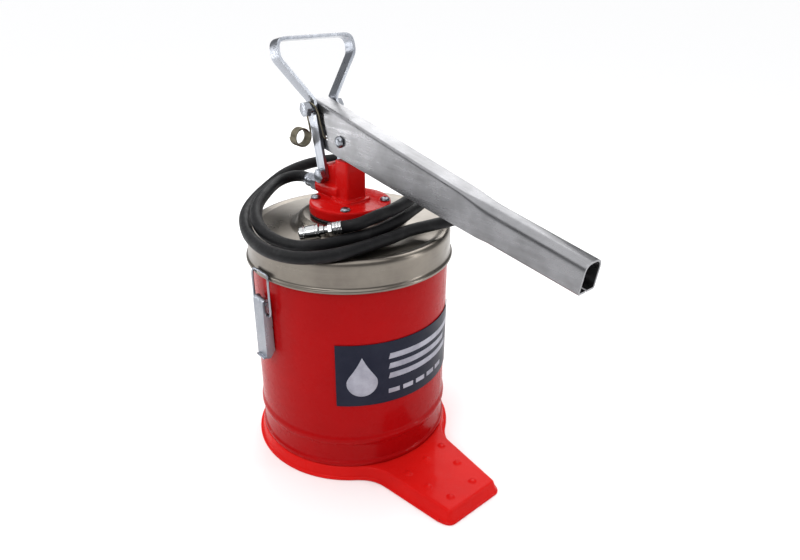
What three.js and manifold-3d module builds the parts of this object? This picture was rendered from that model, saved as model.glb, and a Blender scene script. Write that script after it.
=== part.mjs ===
// Manual bucket grease pump. Millimetres, +Z up, the floor at z = 0.
// +X is the side of the foot pedal and of the lever. The pump axis stands near the bucket axis.
import * as THREE from 'three';
import { mergeVertices } from 'three/addons/utils/BufferGeometryUtils.js';
import Module from 'manifold-3d';

const wasm = await Module();
wasm.setup();

// ---------- driving dimensions ----------
const ROUND = 48;                 // segments of the large rounds
const GAP = 0.3;                  // gap between touching pieces
const SHEET = 2.0;                // base pressing
const RIM_RADIUS = 106.5;         // outer edge of the base lip
const PEDAL_END = 186.5;          // end of the pedal plateau
const PLATE_TOP = 13.3;           // top of the base pressing
const PEDAL_STUDS = [[123, -27], [149, -24], [173, -17], [119, 2], [115, 28], [144, 22], [172, 14.5]];
const BUCKET_RADIUS = 99.5;
const BUCKET_INNER = 98.3;
const BUCKET_TOP = 233.5;
const PUMP_X = 2;                 // pump axis
const FLANGE_RADIUS = 40.2;
const FLANGE = { low: 253.8, high: 264.2 };
const COLUMN_TOP = 304;
const SCREW_CIRCLE = 34.3;
const LOWER_PIVOT = { x: -23.5, z: 285 };
const STRAP_LEAN = 12.5;          // degrees, backwards
const STRAP_PIVOTS = 64.1;        // lower bolt to lever fulcrum
const FULCRUM = { x: -37.4, z: 347.5 };
const ROD_PIN = { x: 2, z: 322.4 };
const BOLT_RADIUS = 4;
const OUTLET = { y: -5, z: 271 };
const HOSE_RADIUS = 5.75;
const TIP = 276.5;                // end of the lever
const CENTRE_SHIFT = -(TIP - RIM_RADIUS) / 2;

const radians = THREE.MathUtils.degToRad;

// ---------- geometry helpers ----------
// Welds a geometry into an indexed one with no zero-area triangles.
function weld(geometry) {
  const bare = geometry.index ? geometry.toNonIndexed() : geometry.clone();
  bare.deleteAttribute('normal');
  bare.deleteAttribute('uv');
  const merged = mergeVertices(bare, 1e-4);
  const from = merged.index.array;
  const kept = [];
  for (let i = 0; i < from.length; i += 3) {
    const [a, b, c] = [from[i], from[i + 1], from[i + 2]];
    if (a !== b && b !== c && c !== a) kept.push(a, b, c);
  }
  merged.setIndex(kept);
  return merged;
}

function toManifold(geometry) {
  const welded = weld(geometry);
  return new wasm.Manifold(new wasm.Mesh({
    numProp: 3,
    vertProperties: new Float32Array(welded.attributes.position.array),
    triVerts: new Uint32Array(welded.index.array),
  }));
}

function toGeometry(manifold) {
  const mesh = manifold.getMesh();
  const geometry = new THREE.BufferGeometry();
  geometry.setAttribute('position', new THREE.BufferAttribute(mesh.vertProperties, 3));
  geometry.setIndex(new THREE.BufferAttribute(mesh.triVerts, 1));
  return geometry;
}

function join(...geometries) {
  return toGeometry(geometries.map(toManifold).reduce((whole, piece) => whole.add(piece)));
}

function cut(geometry, ...tools) {
  return toGeometry(tools.map(toManifold).reduce((whole, tool) => whole.subtract(tool), toManifold(geometry)));
}

function common(first, second) {
  return toGeometry(toManifold(first).intersect(toManifold(second)));
}

// A body turned about Z; the profile of [radius, z] runs up the outside and back down the inside.
function turned(profile, segments = 32) {
  const points = profile.map(([radius, z]) => new THREE.Vector2(radius, z));
  return new THREE.LatheGeometry(points, segments).rotateX(Math.PI / 2);
}

// A ring about Z.
function ring(inner, outer, low, high, segments = 32) {
  return turned([[inner, low], [outer, low], [outer, high], [inner, high], [inner, low]], segments);
}

function block(x0, x1, y0, y1, z0, z1) {
  return new THREE.BoxGeometry(x1 - x0, y1 - y0, z1 - z0)
    .translate((x0 + x1) / 2, (y0 + y1) / 2, (z0 + z1) / 2);
}

// Cylinders along each axis; sides = 6 gives a hexagon of that corner radius.
function rodZ(radius, low, high, x = 0, y = 0, sides = 20) {
  return new THREE.CylinderGeometry(radius, radius, high - low, sides)
    .rotateX(Math.PI / 2).translate(x, y, (low + high) / 2);
}

function rodY(radius, low, high, x, z, sides = 20) {
  return new THREE.CylinderGeometry(radius, radius, high - low, sides).translate(x, (low + high) / 2, z);
}

function rodX(radius, low, high, y, z, sides = 20) {
  return new THREE.CylinderGeometry(radius, radius, high - low, sides)
    .rotateZ(Math.PI / 2).translate((low + high) / 2, y, z);
}

const hexRadius = (acrossFlats) => acrossFlats / Math.sqrt(3);

// A shape from corners [x, y, radius], each corner rounded by its radius.
function rounded(corners) {
  const shape = new THREE.Shape();
  corners.forEach(([x, y, radius = 0], i) => {
    const here = new THREE.Vector2(x, y);
    const before = new THREE.Vector2(...corners[(i + corners.length - 1) % corners.length].slice(0, 2));
    const after = new THREE.Vector2(...corners[(i + 1) % corners.length].slice(0, 2));
    const back = before.sub(here).normalize();
    const ahead = after.sub(here).normalize();
    const half = Math.acos(THREE.MathUtils.clamp(back.dot(ahead), -1, 1)) / 2;
    const reach = radius / Math.tan(half);
    const start = here.clone().addScaledVector(back, reach);
    const end = here.clone().addScaledVector(ahead, reach);
    if (i === 0) shape.moveTo(start.x, start.y);
    else shape.lineTo(start.x, start.y);
    if (radius > 0) shape.quadraticCurveTo(x, y, end.x, end.y);
  });
  return shape;
}

// Extrusions: along Z between two heights, along Y about y = 0, and along X about x = 0.
function plate(shape, low, high, curveSegments = 6) {
  return new THREE.ExtrudeGeometry(shape, { depth: high - low, bevelEnabled: false, curveSegments })
    .translate(0, 0, low);
}

function sideways(shape, width, curveSegments = 6) {
  return new THREE.ExtrudeGeometry(shape, { depth: width, bevelEnabled: false, curveSegments })
    .translate(0, 0, -width / 2).rotateX(Math.PI / 2);
}

function lengthways(shape, width, curveSegments = 6) {
  return new THREE.ExtrudeGeometry(shape, { depth: width, bevelEnabled: false, curveSegments })
    .translate(0, 0, -width / 2).rotateX(Math.PI / 2).rotateZ(Math.PI / 2);
}

// A tube of round section along a smooth path through the points.
function tube(points, radius, steps, sides) {
  const path = new THREE.CatmullRomCurve3(points.map((point) => new THREE.Vector3(...point)), false, 'centripetal');
  const section = new THREE.Shape();
  for (let i = 0; i < sides; i += 1) {
    const angle = (i / sides) * 2 * Math.PI;
    const corner = [radius * Math.cos(angle), radius * Math.sin(angle)];
    if (i === 0) section.moveTo(...corner);
    else section.lineTo(...corner);
  }
  return new THREE.ExtrudeGeometry(section, { steps, bevelEnabled: false, extrudePath: path });
}

// ---------- materials ----------
const paint = (color, roughness, metalness) => () => new THREE.MeshStandardMaterial({ color, roughness, metalness });
const redPaint = paint(0xb71c1c, 0.35, 0.1);
const castRed = paint(0xc62020, 0.45, 0.1);
const nickel = paint(0x8c8880, 0.25, 1);
const brushed = paint(0x9a9aa0, 0.4, 1);
const zinc = paint(0xa0a0b0, 0.4, 1);
const chrome = paint(0xd8d8dc, 0.12, 1);
const darkWire = paint(0x5a5541, 0.5, 0.9);
const rubber = paint(0x232326, 0.7, 0);
const labelFilm = paint(0x2b3147, 0.5, 0);
const machined = paint(0x9b9da0, 0.35, 1);

const model = new THREE.Group();
const pump = new THREE.Group();
pump.position.x = CENTRE_SHIFT;
model.add(pump);

function place(name, geometry, material, parent = pump) {
  const mesh = new THREE.Mesh(weld(geometry), material());
  mesh.geometry.computeVertexNormals();
  mesh.name = name;
  parent.add(mesh);
  return mesh;
}

// ---------- base pressing with the foot pedal ----------
// Pedal outline: narrows towards its end and runs into the round base with a hollow fillet.
function pedalShape(grow, reach) {
  const halfWidth = (x) => 31 - 0.13 * (x - 190) + grow;
  const end = PEDAL_END + reach;
  const fillet = { x: 112, blend: 97 };
  const foot = (BUCKET_RADIUS + SHEET + grow) / 102.1;
  const corner = 4;
  const shape = new THREE.Shape();
  shape.moveTo(40, -60 * foot);
  shape.lineTo(84 * foot, -58 * foot);
  shape.quadraticCurveTo(fillet.blend, -halfWidth(fillet.blend), fillet.x, -halfWidth(fillet.x));
  shape.lineTo(end - corner, -halfWidth(end - corner));
  shape.quadraticCurveTo(end, -halfWidth(end), end, -halfWidth(end) + corner);
  shape.lineTo(end, halfWidth(end) - corner);
  shape.quadraticCurveTo(end, halfWidth(end), end - corner, halfWidth(end - corner));
  shape.lineTo(fillet.x, halfWidth(fillet.x));
  shape.quadraticCurveTo(fillet.blend, halfWidth(fillet.blend), 84 * foot, 58 * foot);
  shape.lineTo(40, 60 * foot);
  return shape;
}

// A pedal block whose flanks slope outwards from its top down to z = floor.
function slopedPedal(grow, reach, top, floor, spread) {
  const straight = 4;
  const slope = top - floor;
  return new THREE.ExtrudeGeometry(pedalShape(grow, reach), {
    depth: straight, bevelEnabled: true, bevelThickness: slope, bevelSize: spread, bevelSegments: 1,
    curveSegments: 5,
  }).translate(0, 0, top - straight - slope);
}

function basePlate() {
  const below = block(-150, 250, -150, 150, -40, 0);
  const disc = turned([[0, 0], [RIM_RADIUS, 0], [RIM_RADIUS, 2], [103.8, 2], [101.5, PLATE_TOP], [0, PLATE_TOP]], ROUND);
  const pedal = cut(slopedPedal(0, 0, PLATE_TOP, 2, 3.6), below);
  const lip = plate(pedalShape(6.6, 4.8), 0, 2);
  const outside = join(disc, pedal, lip);
  const discHollow = turned([[0, -1], [101.8, -1], [99.4, PLATE_TOP - SHEET], [0, PLATE_TOP - SHEET]], ROUND);
  const pedalHollow = slopedPedal(-SHEET, -SHEET, PLATE_TOP - SHEET, -1, 3.9);
  let pressing = cut(outside, join(discHollow, pedalHollow));
  for (const [x, y] of PEDAL_STUDS) {
    const stud = turned([[0, PLATE_TOP - 1], [3.4, PLATE_TOP - 1], [1.6, PLATE_TOP + 1], [0, PLATE_TOP + 1]], 12);
    pressing = join(pressing, stud.translate(x, y, 0));
  }
  return pressing;
}
place('base_plate', basePlate(), redPaint);

// ---------- bucket, label and lid ----------
const RIVET_HEIGHTS = [163, 171];
const rivetHoles = RIVET_HEIGHTS.map((z) => rodY(2.3, -120, 120, 0, z, 12));

const bucketProfile = [
  [0, 15.2], [97.5, 15.2], [99.2, 13.7], [101.4, 13.7], [101.4, 18.2],
  [BUCKET_RADIUS, 19.5], [BUCKET_RADIUS, 39.5], [101.3, 42.5], [101.3, 46.5], [BUCKET_RADIUS, 49.5],
  [BUCKET_RADIUS, BUCKET_TOP], [BUCKET_INNER, BUCKET_TOP], [BUCKET_INNER, 17], [0, 17],
];
place('bucket_body', cut(turned(bucketProfile, ROUND), ...rivetHoles), redPaint);

function labelSector() {
  const [inner, outer, span, steps] = [100, 100.6, 46.5, 24];
  const shape = new THREE.Shape();
  const at = (radius, i) => {
    const angle = radians(-span + (2 * span * i) / steps);
    return [radius * Math.cos(angle), radius * Math.sin(angle)];
  };
  shape.moveTo(...at(inner, 0));
  for (let i = 0; i <= steps; i += 1) shape.lineTo(...at(outer, i));
  for (let i = steps; i > 0; i -= 1) shape.lineTo(...at(inner, i));
  return plate(shape, 88, 156);
}
place('label', labelSector(), labelFilm);

const lidProfile = [
  [24, 250.3], [45.6, 250.3], [49.6, 248.5], [53.5, 242.2], [57.6, 239.7], [91.2, 238.3], [95.2, 239.3],
  [97.8, 239.1], [99.6, 237.2], [100.3, 234.5], [100.3, 214], [100.6, 210.8], [102, 210], [103.7, 210.8],
  [103.7, 213.4], [102.2, 214.2], [101.4, 215.5], [101.4, 235], [100.8, 238.2], [98.5, 240.4], [95, 240.6],
  [91, 239.6], [58, 241], [54.5, 243.2], [50.5, 249.5], [46, 251.6], [24, 251.6], [24, 250.3],
];
const screwSpots = [45, 135, 225, 315].map((angle) => ({
  x: PUMP_X + SCREW_CIRCLE * Math.cos(radians(angle)),
  y: SCREW_CIRCLE * Math.sin(radians(angle)),
}));
const screwHoles = (radius) => screwSpots.map(({ x, y }) => rodZ(radius, 240, 275, x, y, 12));

place('lid', cut(turned(lidProfile, ROUND), ...screwHoles(3)), nickel);
place('lid_gasket', ring(95.5, 98.5, 233.8, 237.2, 32), rubber);
place('head_gasket', cut(ring(24.5, 39.6, 251.9, 253.5, 24).translate(PUMP_X, 0, 0), ...screwHoles(3)), rubber);

// ---------- pump head casting ----------
const FITTING_BORE = 4.2;
const BOSS_FACE = -38.4;

function pumpHead() {
  const flange = turned([[0, FLANGE.low], [FLANGE_RADIUS, FLANGE.low], [FLANGE_RADIUS, FLANGE.high - 1.3],
    [FLANGE_RADIUS - 1.3, FLANGE.high], [0, FLANGE.high]], 40).translate(PUMP_X, 0, 0);
  const column = plate(rounded([[-6.1, -11.4, 2], [12.8, -11.4, 2], [12.8, 11.4, 2], [-6.1, 11.4, 2]]),
    FLANGE.high - 2, COLUMN_TOP);
  const plinth = plate(rounded([[-9, -14, 4], [16, -14, 4], [16, 14, 4], [-9, 14, 4]]), FLANGE.high - 2, 267.5);
  const earRadius = 11.5;
  const ear = new THREE.Shape();
  ear.moveTo(4, FLANGE.high - 2);
  ear.lineTo(4, 301);
  ear.lineTo(-4, 301);
  ear.absarc(LOWER_PIVOT.x, LOWER_PIVOT.z, earRadius, radians(62), radians(180), false);
  ear.lineTo(LOWER_PIVOT.x - earRadius + 2, FLANGE.high - 2);
  const web = sideways(ear, 20, 10);
  const boss = rodX(9.3, BOSS_FACE, -2, OUTLET.y, OUTLET.z, 24);
  return cut(join(flange, plinth, column, web, boss),
    rodZ(16.4, FLANGE.low - 1, 262.2, PUMP_X, 0, 32),
    rodZ(9, FLANGE.low - 1, 292, PUMP_X, 0, 24),
    rodZ(5.6, 280, COLUMN_TOP + 2, PUMP_X, 0),
    rodX(FITTING_BORE, -40, PUMP_X, OUTLET.y, OUTLET.z, 16),
    rodY(BOLT_RADIUS + GAP, -15, 15, LOWER_PIVOT.x, LOWER_PIVOT.z),
    ...screwHoles(3));
}
place('pump_head', pumpHead(), castRed);
place('rod_seal', ring(5.4, 8.7, 284, 291.6, 24).translate(PUMP_X, 0, 0), rubber);

screwSpots.forEach(({ x, y }, i) => {
  const head = FLANGE.high + GAP;
  const screw = turned([[0, 248.6], [2.5, 248.6], [2.5, head], [5.4, head], [5.4, head + 1.8],
    [4.3, head + 3.3], [2.2, head + 3.7], [1.4, head + 2.2], [0, head + 2.2]], 12);
  place(`head_screw_${i + 1}`, screw.translate(x, y, 0), zinc);
});

// ---------- pump tube, foot and follower inside the bucket ----------
place('pump_tube', ring(13, 16, 26, 261.5, 24).translate(PUMP_X, 0, 0), machined);

function inletFoot() {
  const collar = turned([[12.7, 18], [20.5, 18], [20.5, 31], [16.4, 31], [16.4, 25.7], [12.7, 25.7], [12.7, 18]], 24);
  return cut(collar, block(-30, 30, -4, 4, 10, 22.5), block(-4, 4, -30, 30, 10, 22.5)).translate(PUMP_X, 0, 0);
}
place('inlet_foot', inletFoot(), machined);

function followerPlate() {
  const disc = turned([[0, 31.6], [88, 31.6], [92, 33.4], [95.4, 33.4], [95.4, 35.2], [90, 35.2], [87, 33.4], [0, 33.4]], ROUND);
  const collar = rodZ(20.5, 32, 38, PUMP_X, 0, 24);
  return cut(join(disc, collar), rodZ(16.9, 25, 45, PUMP_X, 0, 24));
}
place('follower_plate', followerPlate(), zinc);
place('follower_seal', ring(95.7, 97.6, 31.8, 37.5, ROUND), rubber);

// ---------- piston and rod ----------
function pistonRod() {
  const eye = { x: ROD_PIN.x + 1.8, z: ROD_PIN.z - 0.3, travel: 4.4, inner: 5, wall: 3.5 };
  const stadium = (radius) => rounded([
    [eye.x - eye.travel / 2 - radius, eye.z - radius, radius * 0.98],
    [eye.x + eye.travel / 2 + radius, eye.z - radius, radius * 0.98],
    [eye.x + eye.travel / 2 + radius, eye.z + radius, radius * 0.98],
    [eye.x - eye.travel / 2 - radius, eye.z + radius, radius * 0.98]]);
  const slot = join(
    rodY(eye.inner, -8, 8, eye.x - eye.travel / 2, eye.z, 24),
    rodY(eye.inner, -8, 8, eye.x + eye.travel / 2, eye.z, 24),
    block(eye.x - eye.travel / 2, eye.x + eye.travel / 2, -8, 8, eye.z - eye.inner, eye.z + eye.inner));
  const blade = sideways(stadium(eye.inner + eye.wall), 10, 8);
  return cut(join(rodZ(5, 56, eye.z - eye.inner - 1, PUMP_X, 0), blade), slot);
}
place('piston_rod', pistonRod(), machined);
place('piston', turned([[5.3, 60.4], [11.8, 60.4], [12.6, 61.4], [12.6, 66], [11.6, 66.6], [11.6, 68.6],
  [12.6, 69.2], [12.6, 74], [11.8, 75], [5.3, 75], [5.3, 60.4]], 18).translate(PUMP_X, 0, 0), machined);
place('piston_nut', cut(rodZ(hexRadius(16), 55, 60, PUMP_X, 0, 6), rodZ(5.3, 50, 65, PUMP_X, 0)), zinc);

// ---------- lever: pressed channel with a closed grip ----------
const leverTop = [[-40, 356.4], [-22, 352.5], [88, 328.7], [178, 309.3], [TIP, 292.4]];
const leverBottom = [[-31, 311.6], [87, 293.3], [178, 280.4], [273, 266.8]];
const LEVER_HALF = 10;
const LEVER_SHEET = 1.8;
const NOSE_RADIUS = 8.8;
const SPRING_HOLE = { x: -20.9, z: 321.7 };

function bevelledSideways(shape, halfWidth, bevel) {
  return new THREE.ExtrudeGeometry(shape, {
    depth: 2 * (halfWidth - bevel), bevelEnabled: true, bevelThickness: bevel, bevelSize: bevel,
    bevelOffset: -bevel, bevelSegments: 2, curveSegments: 5,
  }).translate(0, 0, -(halfWidth - bevel)).rotateX(Math.PI / 2);
}

function outlineShape(points) {
  const shape = new THREE.Shape();
  points.forEach(([x, z], i) => (i === 0 ? shape.moveTo(x, z) : shape.lineTo(x, z)));
  return shape;
}

function lever() {
  const overshoot = 20;
  const depthBelow = 14;
  const below = leverBottom.map(([x, z]) => [x, z - depthBelow]);
  const topBackwards = [...leverTop].reverse().slice(1);
  // The body and its hollow both run past the ends; the side view below trims them.
  const body = bevelledSideways(outlineShape([
    [-60, 360.7], [-60, 300], ...below, [TIP + overshoot, 252.8], [TIP + overshoot, 289], ...topBackwards,
  ]), LEVER_HALF, 4);
  const lowered = ([x, z]) => [x, z - LEVER_SHEET];
  const hollow = bevelledSideways(outlineShape([
    [-80, 363.5], [-80, 270], [300, 200], [TIP + 1.5 * overshoot, 285.5], ...topBackwards.map(lowered),
  ]), LEVER_HALF - LEVER_SHEET, 2.2);
  const side = outlineShape([...leverBottom, [TIP, 292.4], [TIP + 4, 310], [-30, 375], [-39.4, 356]]);
  side.absarc(FULCRUM.x, FULCRUM.z, NOSE_RADIUS, radians(103), radians(196), false);
  const channel = common(cut(body, hollow), sideways(side, 40, 8));
  const lipStrip = outlineShape([[182, 279.9], [272.6, 266.9], [272.9, 268.7], [182.3, 281.7]]);
  const lips = [-1, 1].map((s) => sideways(lipStrip, 5.4).translate(0, s * 6.2, 0));
  return cut(join(channel, ...lips),
    rodY(BOLT_RADIUS + GAP, -12, 12, FULCRUM.x, FULCRUM.z),
    rodY(BOLT_RADIUS + GAP, -12, 12, ROD_PIN.x, ROD_PIN.z),
    rodY(2.6, -12, 12, SPRING_HOLE.x, SPRING_HOLE.z, 12));
}
place('lever', lever(), brushed);

function rodPin() {
  const shank = rodY(BOLT_RADIUS, -10.6, 15.2, ROD_PIN.x, ROD_PIN.z);
  const dome = turned([[0, 0], [5.6, 0], [5.6, 1.2], [4.4, 2.9], [2, 3.7], [0, 3.8]], 20)
    .rotateX(Math.PI / 2).translate(ROD_PIN.x, -10 - GAP, ROD_PIN.z);
  return join(shank, dome);
}
place('rod_pin', rodPin(), zinc);

// A hexagon along Y with a flat upwards, and a nut of that shape round a shank of the bolt radius.
function hexY(x, z, low, high, acrossFlats) {
  return rodY(hexRadius(acrossFlats), low, high, 0, 0, 6).rotateY(Math.PI / 6).translate(x, 0, z);
}

function nutY(x, z, low, high, acrossFlats) {
  return cut(hexY(x, z, low, high, acrossFlats), rodY(BOLT_RADIUS + 0.25, low - 1, high + 1, x, z));
}
place('rod_pin_nut', nutY(ROD_PIN.x, ROD_PIN.z, 10.4, 14.4, 12), zinc);

// ---------- strap: pivoting link below, carrying handle above ----------
// One flat strip bent into a tall loop; its legs hold the ear below and the lever above.
function strapHandle() {
  const [half, leg, bow, top, thick, end] = [6.5, 14.2, 44, 129.6, 3, 8];
  const outer = [[leg, -end], [leg, 71.5, 6], [bow, 111, 12], [bow, top, 11]];
  const inner = [[bow - thick, top - thick, 8], [bow - thick, 112, 9], [leg - thick, 72.5, 9], [leg - thick, -end]];
  const mirrored = (corners) => corners.map(([y, z, radius]) => [-y, z, radius]).reverse();
  const band = lengthways(rounded([...outer, ...mirrored(outer), ...mirrored(inner), ...inner]), 2 * half, 6);
  const side = new THREE.Shape();
  side.moveTo(half, 0);
  side.lineTo(half, top + 5);
  side.lineTo(-half, top + 5);
  side.lineTo(-half, 0);
  side.absarc(0, 0, half, Math.PI, 2 * Math.PI, false);
  const strip = common(band, sideways(side, 120, 10));
  return cut(strip, rodY(BOLT_RADIUS + GAP, -20, 20, 0, 0), rodY(BOLT_RADIUS + GAP, -20, 20, 0, STRAP_PIVOTS));
}
const strap = new THREE.Group();
strap.position.set(LOWER_PIVOT.x, 0, LOWER_PIVOT.z);
strap.rotation.y = radians(-STRAP_LEAN);
pump.add(strap);
place('strap_handle', strapHandle(), zinc, strap);

// ---------- bolts of the strap ----------
function boltY(x, z, headLow, headHigh, end) {
  const head = hexY(x, z, headLow, headHigh, 13);
  return join(head, rodY(BOLT_RADIUS, headHigh - 0.5, end, x, z));
}
place('lower_bolt', boltY(LOWER_PIVOT.x, LOWER_PIVOT.z, -20, -14.5, 21.5), zinc);
place('lower_nut', nutY(LOWER_PIVOT.x, LOWER_PIVOT.z, 14.5, 20, 13), zinc);
place('upper_bolt', boltY(0, STRAP_PIVOTS, -23.3, -17.8, 21.5), zinc, strap);
place('upper_nut', nutY(0, STRAP_PIVOTS, 14.5, 20, 12), zinc, strap);

// ---------- torsion spring ----------
// Hooked through the lever, led over the fulcrum bolt, then coiled beside the strap.
function springPath() {
  const coil = { x: -44.5, y: -20, z: 319, radius: 8.4, pitch: 2, turns: 5.5, perTurn: 12 };
  const lead = [[-20.9, -7.6, 321.7], [-20.9, -9.6, 321.7], [-21.4, -11.3, 322.8], [-24, -11.7, 329.5],
    [-26.6, -12, 337], [-28, -12.6, 344], [-30.2, -14.7, 350.4], [-33.5, -16.1, 353], [-37.4, -16.2, 353.6],
    [-41.3, -16.2, 351.4], [-43, -16, 347], [-43.3, -15.2, 340], [-43.7, -13, 330]];
  for (let i = 0; i <= coil.turns * coil.perTurn; i += 1) {
    const angle = (-2 * Math.PI * i) / coil.perTurn;
    lead.push([coil.x - (coil.pitch * i) / coil.perTurn,
      coil.y + coil.radius * Math.cos(angle), coil.z + coil.radius * Math.sin(angle)]);
  }
  return lead;
}
place('torsion_spring', tube(springPath(), 0.9, 110, 6), darkWire);

// ---------- outlet, hose and coupler ----------
const HOSE_START = -62.3;
const hoseRoute = [
  [HOSE_START, -5, 271], [-72, -5, 271], [-81, -13, 270.5], [-82, -29, 268], [-64, -57, 264],
  [-46.5, -76, 260], [-26, -88.5, 254.5], [-7.5, -92.5, 250], [11.5, -91.5, 247.4], [34, -84, 246.8],
  [46, -64.5, 246.8], [50.5, -39.5, 246.9], [58, -16, 250.2], [60, 10.5, 255.5], [47.5, 45, 257],
  [35.5, 80, 257.5], [47.5, 100.5, 258], [76, 88.5, 257.5], [90, 62, 255], [80.5, 39.5, 251],
  [73.5, 15, 249], [73.5, -12, 247.5], [69.5, -71.5, 246.7], [55.5, -97, 246.8], [29.5, -108.5, 246.8],
  [-1.5, -107, 247], [-33.5, -96.5, 247.2], [-65.5, -79, 248], [-88.5, -57, 251], [-100, -34, 257.5],
  [-100, -9, 269], [-97.5, 25, 275], [-72, 50, 280], [-17, 54, 281.5], [30, 47, 279],
  [53.5, 36, 274], [61, 9.5, 269.5], [57, -14, 264.5], [52.1, -29.8, 259.9], [43, -40, 257],
];

function outletFitting() {
  const hex = rodX(hexRadius(17), -47, BOSS_FACE - GAP, OUTLET.y, OUTLET.z, 6);
  return cut(hex, rodX(3.5, -50, -30, OUTLET.y, OUTLET.z, 16));
}
place('outlet_fitting', outletFitting(), zinc);
place('hose_ferrule', cut(rodX(HOSE_RADIUS + 1.6, HOSE_START + GAP, -47 - GAP, OUTLET.y, OUTLET.z, 24),
  rodX(3.5, -70, -40, OUTLET.y, OUTLET.z, 16)), zinc);
place('hose', tube(hoseRoute, HOSE_RADIUS, 80, 10), rubber);

// The coupler lies on the lid in line with the end of the hose; its own axis is local +Z.
const hoseEnd = new THREE.Vector3(...hoseRoute.at(-1));
const couplerMouth = new THREE.Vector3(17, -69, 248.8);
const coupler = new THREE.Group();
coupler.position.copy(hoseEnd);
coupler.quaternion.setFromUnitVectors(new THREE.Vector3(0, 0, 1), couplerMouth.clone().sub(hoseEnd).normalize());
pump.add(coupler);

function couplerBody() {
  const shell = turned([[0, 16.6], [4.6, 16.6], [5, 17.2], [5, 21], [6.6, 21.6], [7.1, 22.4], [7.1, 33.4], [6.7, 34],
    [6.7, 35], [7.1, 35.6], [7.1, 39.2], [6.4, 40], [4, 40], [4, 33], [0, 33]], 16);
  return cut(shell, block(-0.6, 0.6, -9, 9, 35.5, 42), block(-9, 9, -0.6, 0.6, 35.5, 42));
}
place('coupler_ferrule', turned([[0, GAP], [6.4, GAP], [6.4, 8.6], [5.8, 9.2], [0, 9.2]], 24), chrome, coupler);
place('coupler_adaptor', join(rodZ(hexRadius(11), 9.5, 13.2, 0, 0, 6), rodZ(4, 9.6, 16.3)), chrome, coupler);
place('coupler_body', couplerBody(), chrome, coupler);

// ---------- toggle latches on both sides ----------
const LATCH = { pinY: -105, pinZ: 186, bailY: -104.8, bailZ: 174, bailTop: 215.8 };

// The bracket's ears are round about the hinge pin, so that the top of the cover turns clear of them.
function latchBracket() {
  const { pinY, pinZ } = LATCH;
  const back = block(-6.6, 6.6, -101.4, -99.9, 157, pinZ - 5.5);
  const ear = new THREE.Shape();
  ear.moveTo(pinY + 4, pinZ - 12);
  ear.lineTo(pinY + 4, pinZ - 6.5);
  ear.lineTo(pinY + 1.6, pinZ - 4.6);
  ear.absarc(pinY, pinZ, 3.1, radians(-55), radians(200), false);
  ear.lineTo(pinY - 2.9, pinZ - 6);
  const ears = [-1, 1].map((side) => lengthways(ear, 1.5, 8).translate(side * 5.3, 0, 0));
  return cut(join(back, ...ears), rodX(2.1, -10, 10, pinY, pinZ, 14),
    ...RIVET_HEIGHTS.map((z) => rodY(2.3, -105, -95, 0, z, 12)));
}

// A pressed cover with its top rolled over the hinge pin; the hollow is open towards the bucket.
function latchCover() {
  const outside = rounded([[-109.5, 127, 1.5], [-109.5, 190.5, 4.5], [-101.6, 190.5, 3.4], [-101.6, 178, 2],
    [-100.4, 174], [-100.4, 134, 3], [-105, 127]].reverse());
  const inside = rounded([[-108.3, 128.2], [-108.3, 189.3, 3.3], [-104.5, 189.3], [-104.5, 195],
    [-90, 195], [-90, 128.2]].reverse());
  const lip = block(-7, 7, -112.4, -109, 127, 128.4);
  return cut(join(cut(lengthways(outside, 17), lengthways(inside, 14.6)), lip),
    rodX(2.1, -10, 10, LATCH.pinY, LATCH.pinZ, 14),
    rodX(1.6, -10, 10, LATCH.bailY, LATCH.bailZ, 12));
}

function latchBail() {
  const side = [[7.2, -104.8, 174], [10, -104.8, 174], [12.6, -104.8, 174.6], [14, -104.8, 177.2], [14, -104.8, 190],
    [14, -104.8, 208], [13.6, -104.4, 213], [11.6, -103.7, 215.4], [8, -103.5, LATCH.bailTop]];
  const other = side.map(([x, y, z]) => [-x, y, z]).reverse();
  return tube([...side, [0, -103.5, LATCH.bailTop], ...other], 1.2, 36, 6);
}

function latchRivet(z) {
  return turned([[0, 0], [2, 0], [2, 3.2], [3.6, 3.2], [3.4, 4.2], [2, 4.9], [0, 5]], 14)
    .rotateX(Math.PI / 2).translate(0, -98.5, z);
}

const latchPieces = [
  ['latch_bracket', latchBracket(), zinc],
  ['latch_pin', rodX(1.75, -9.5, 9.5, LATCH.pinY, LATCH.pinZ, 14), zinc],
  ['latch_cover', latchCover(), zinc],
  ['latch_bail', latchBail(), zinc],
  ['latch_rivet_lower', latchRivet(RIVET_HEIGHTS[0]), zinc],
  ['latch_rivet_upper', latchRivet(RIVET_HEIGHTS[1]), zinc],
];
for (const [suffix, turn] of [['left', 0], ['right', Math.PI]]) {
  for (const [name, geometry, material] of latchPieces) {
    place(`${name}_${suffix}`, geometry.clone().rotateZ(turn), material);
  }
}

export default model;
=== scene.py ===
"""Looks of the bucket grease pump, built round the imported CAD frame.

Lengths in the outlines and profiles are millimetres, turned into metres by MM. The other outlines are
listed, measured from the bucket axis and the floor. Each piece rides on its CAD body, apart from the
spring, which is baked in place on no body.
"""

import math

import bmesh
import bpy
from mathutils import Matrix, Vector


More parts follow.
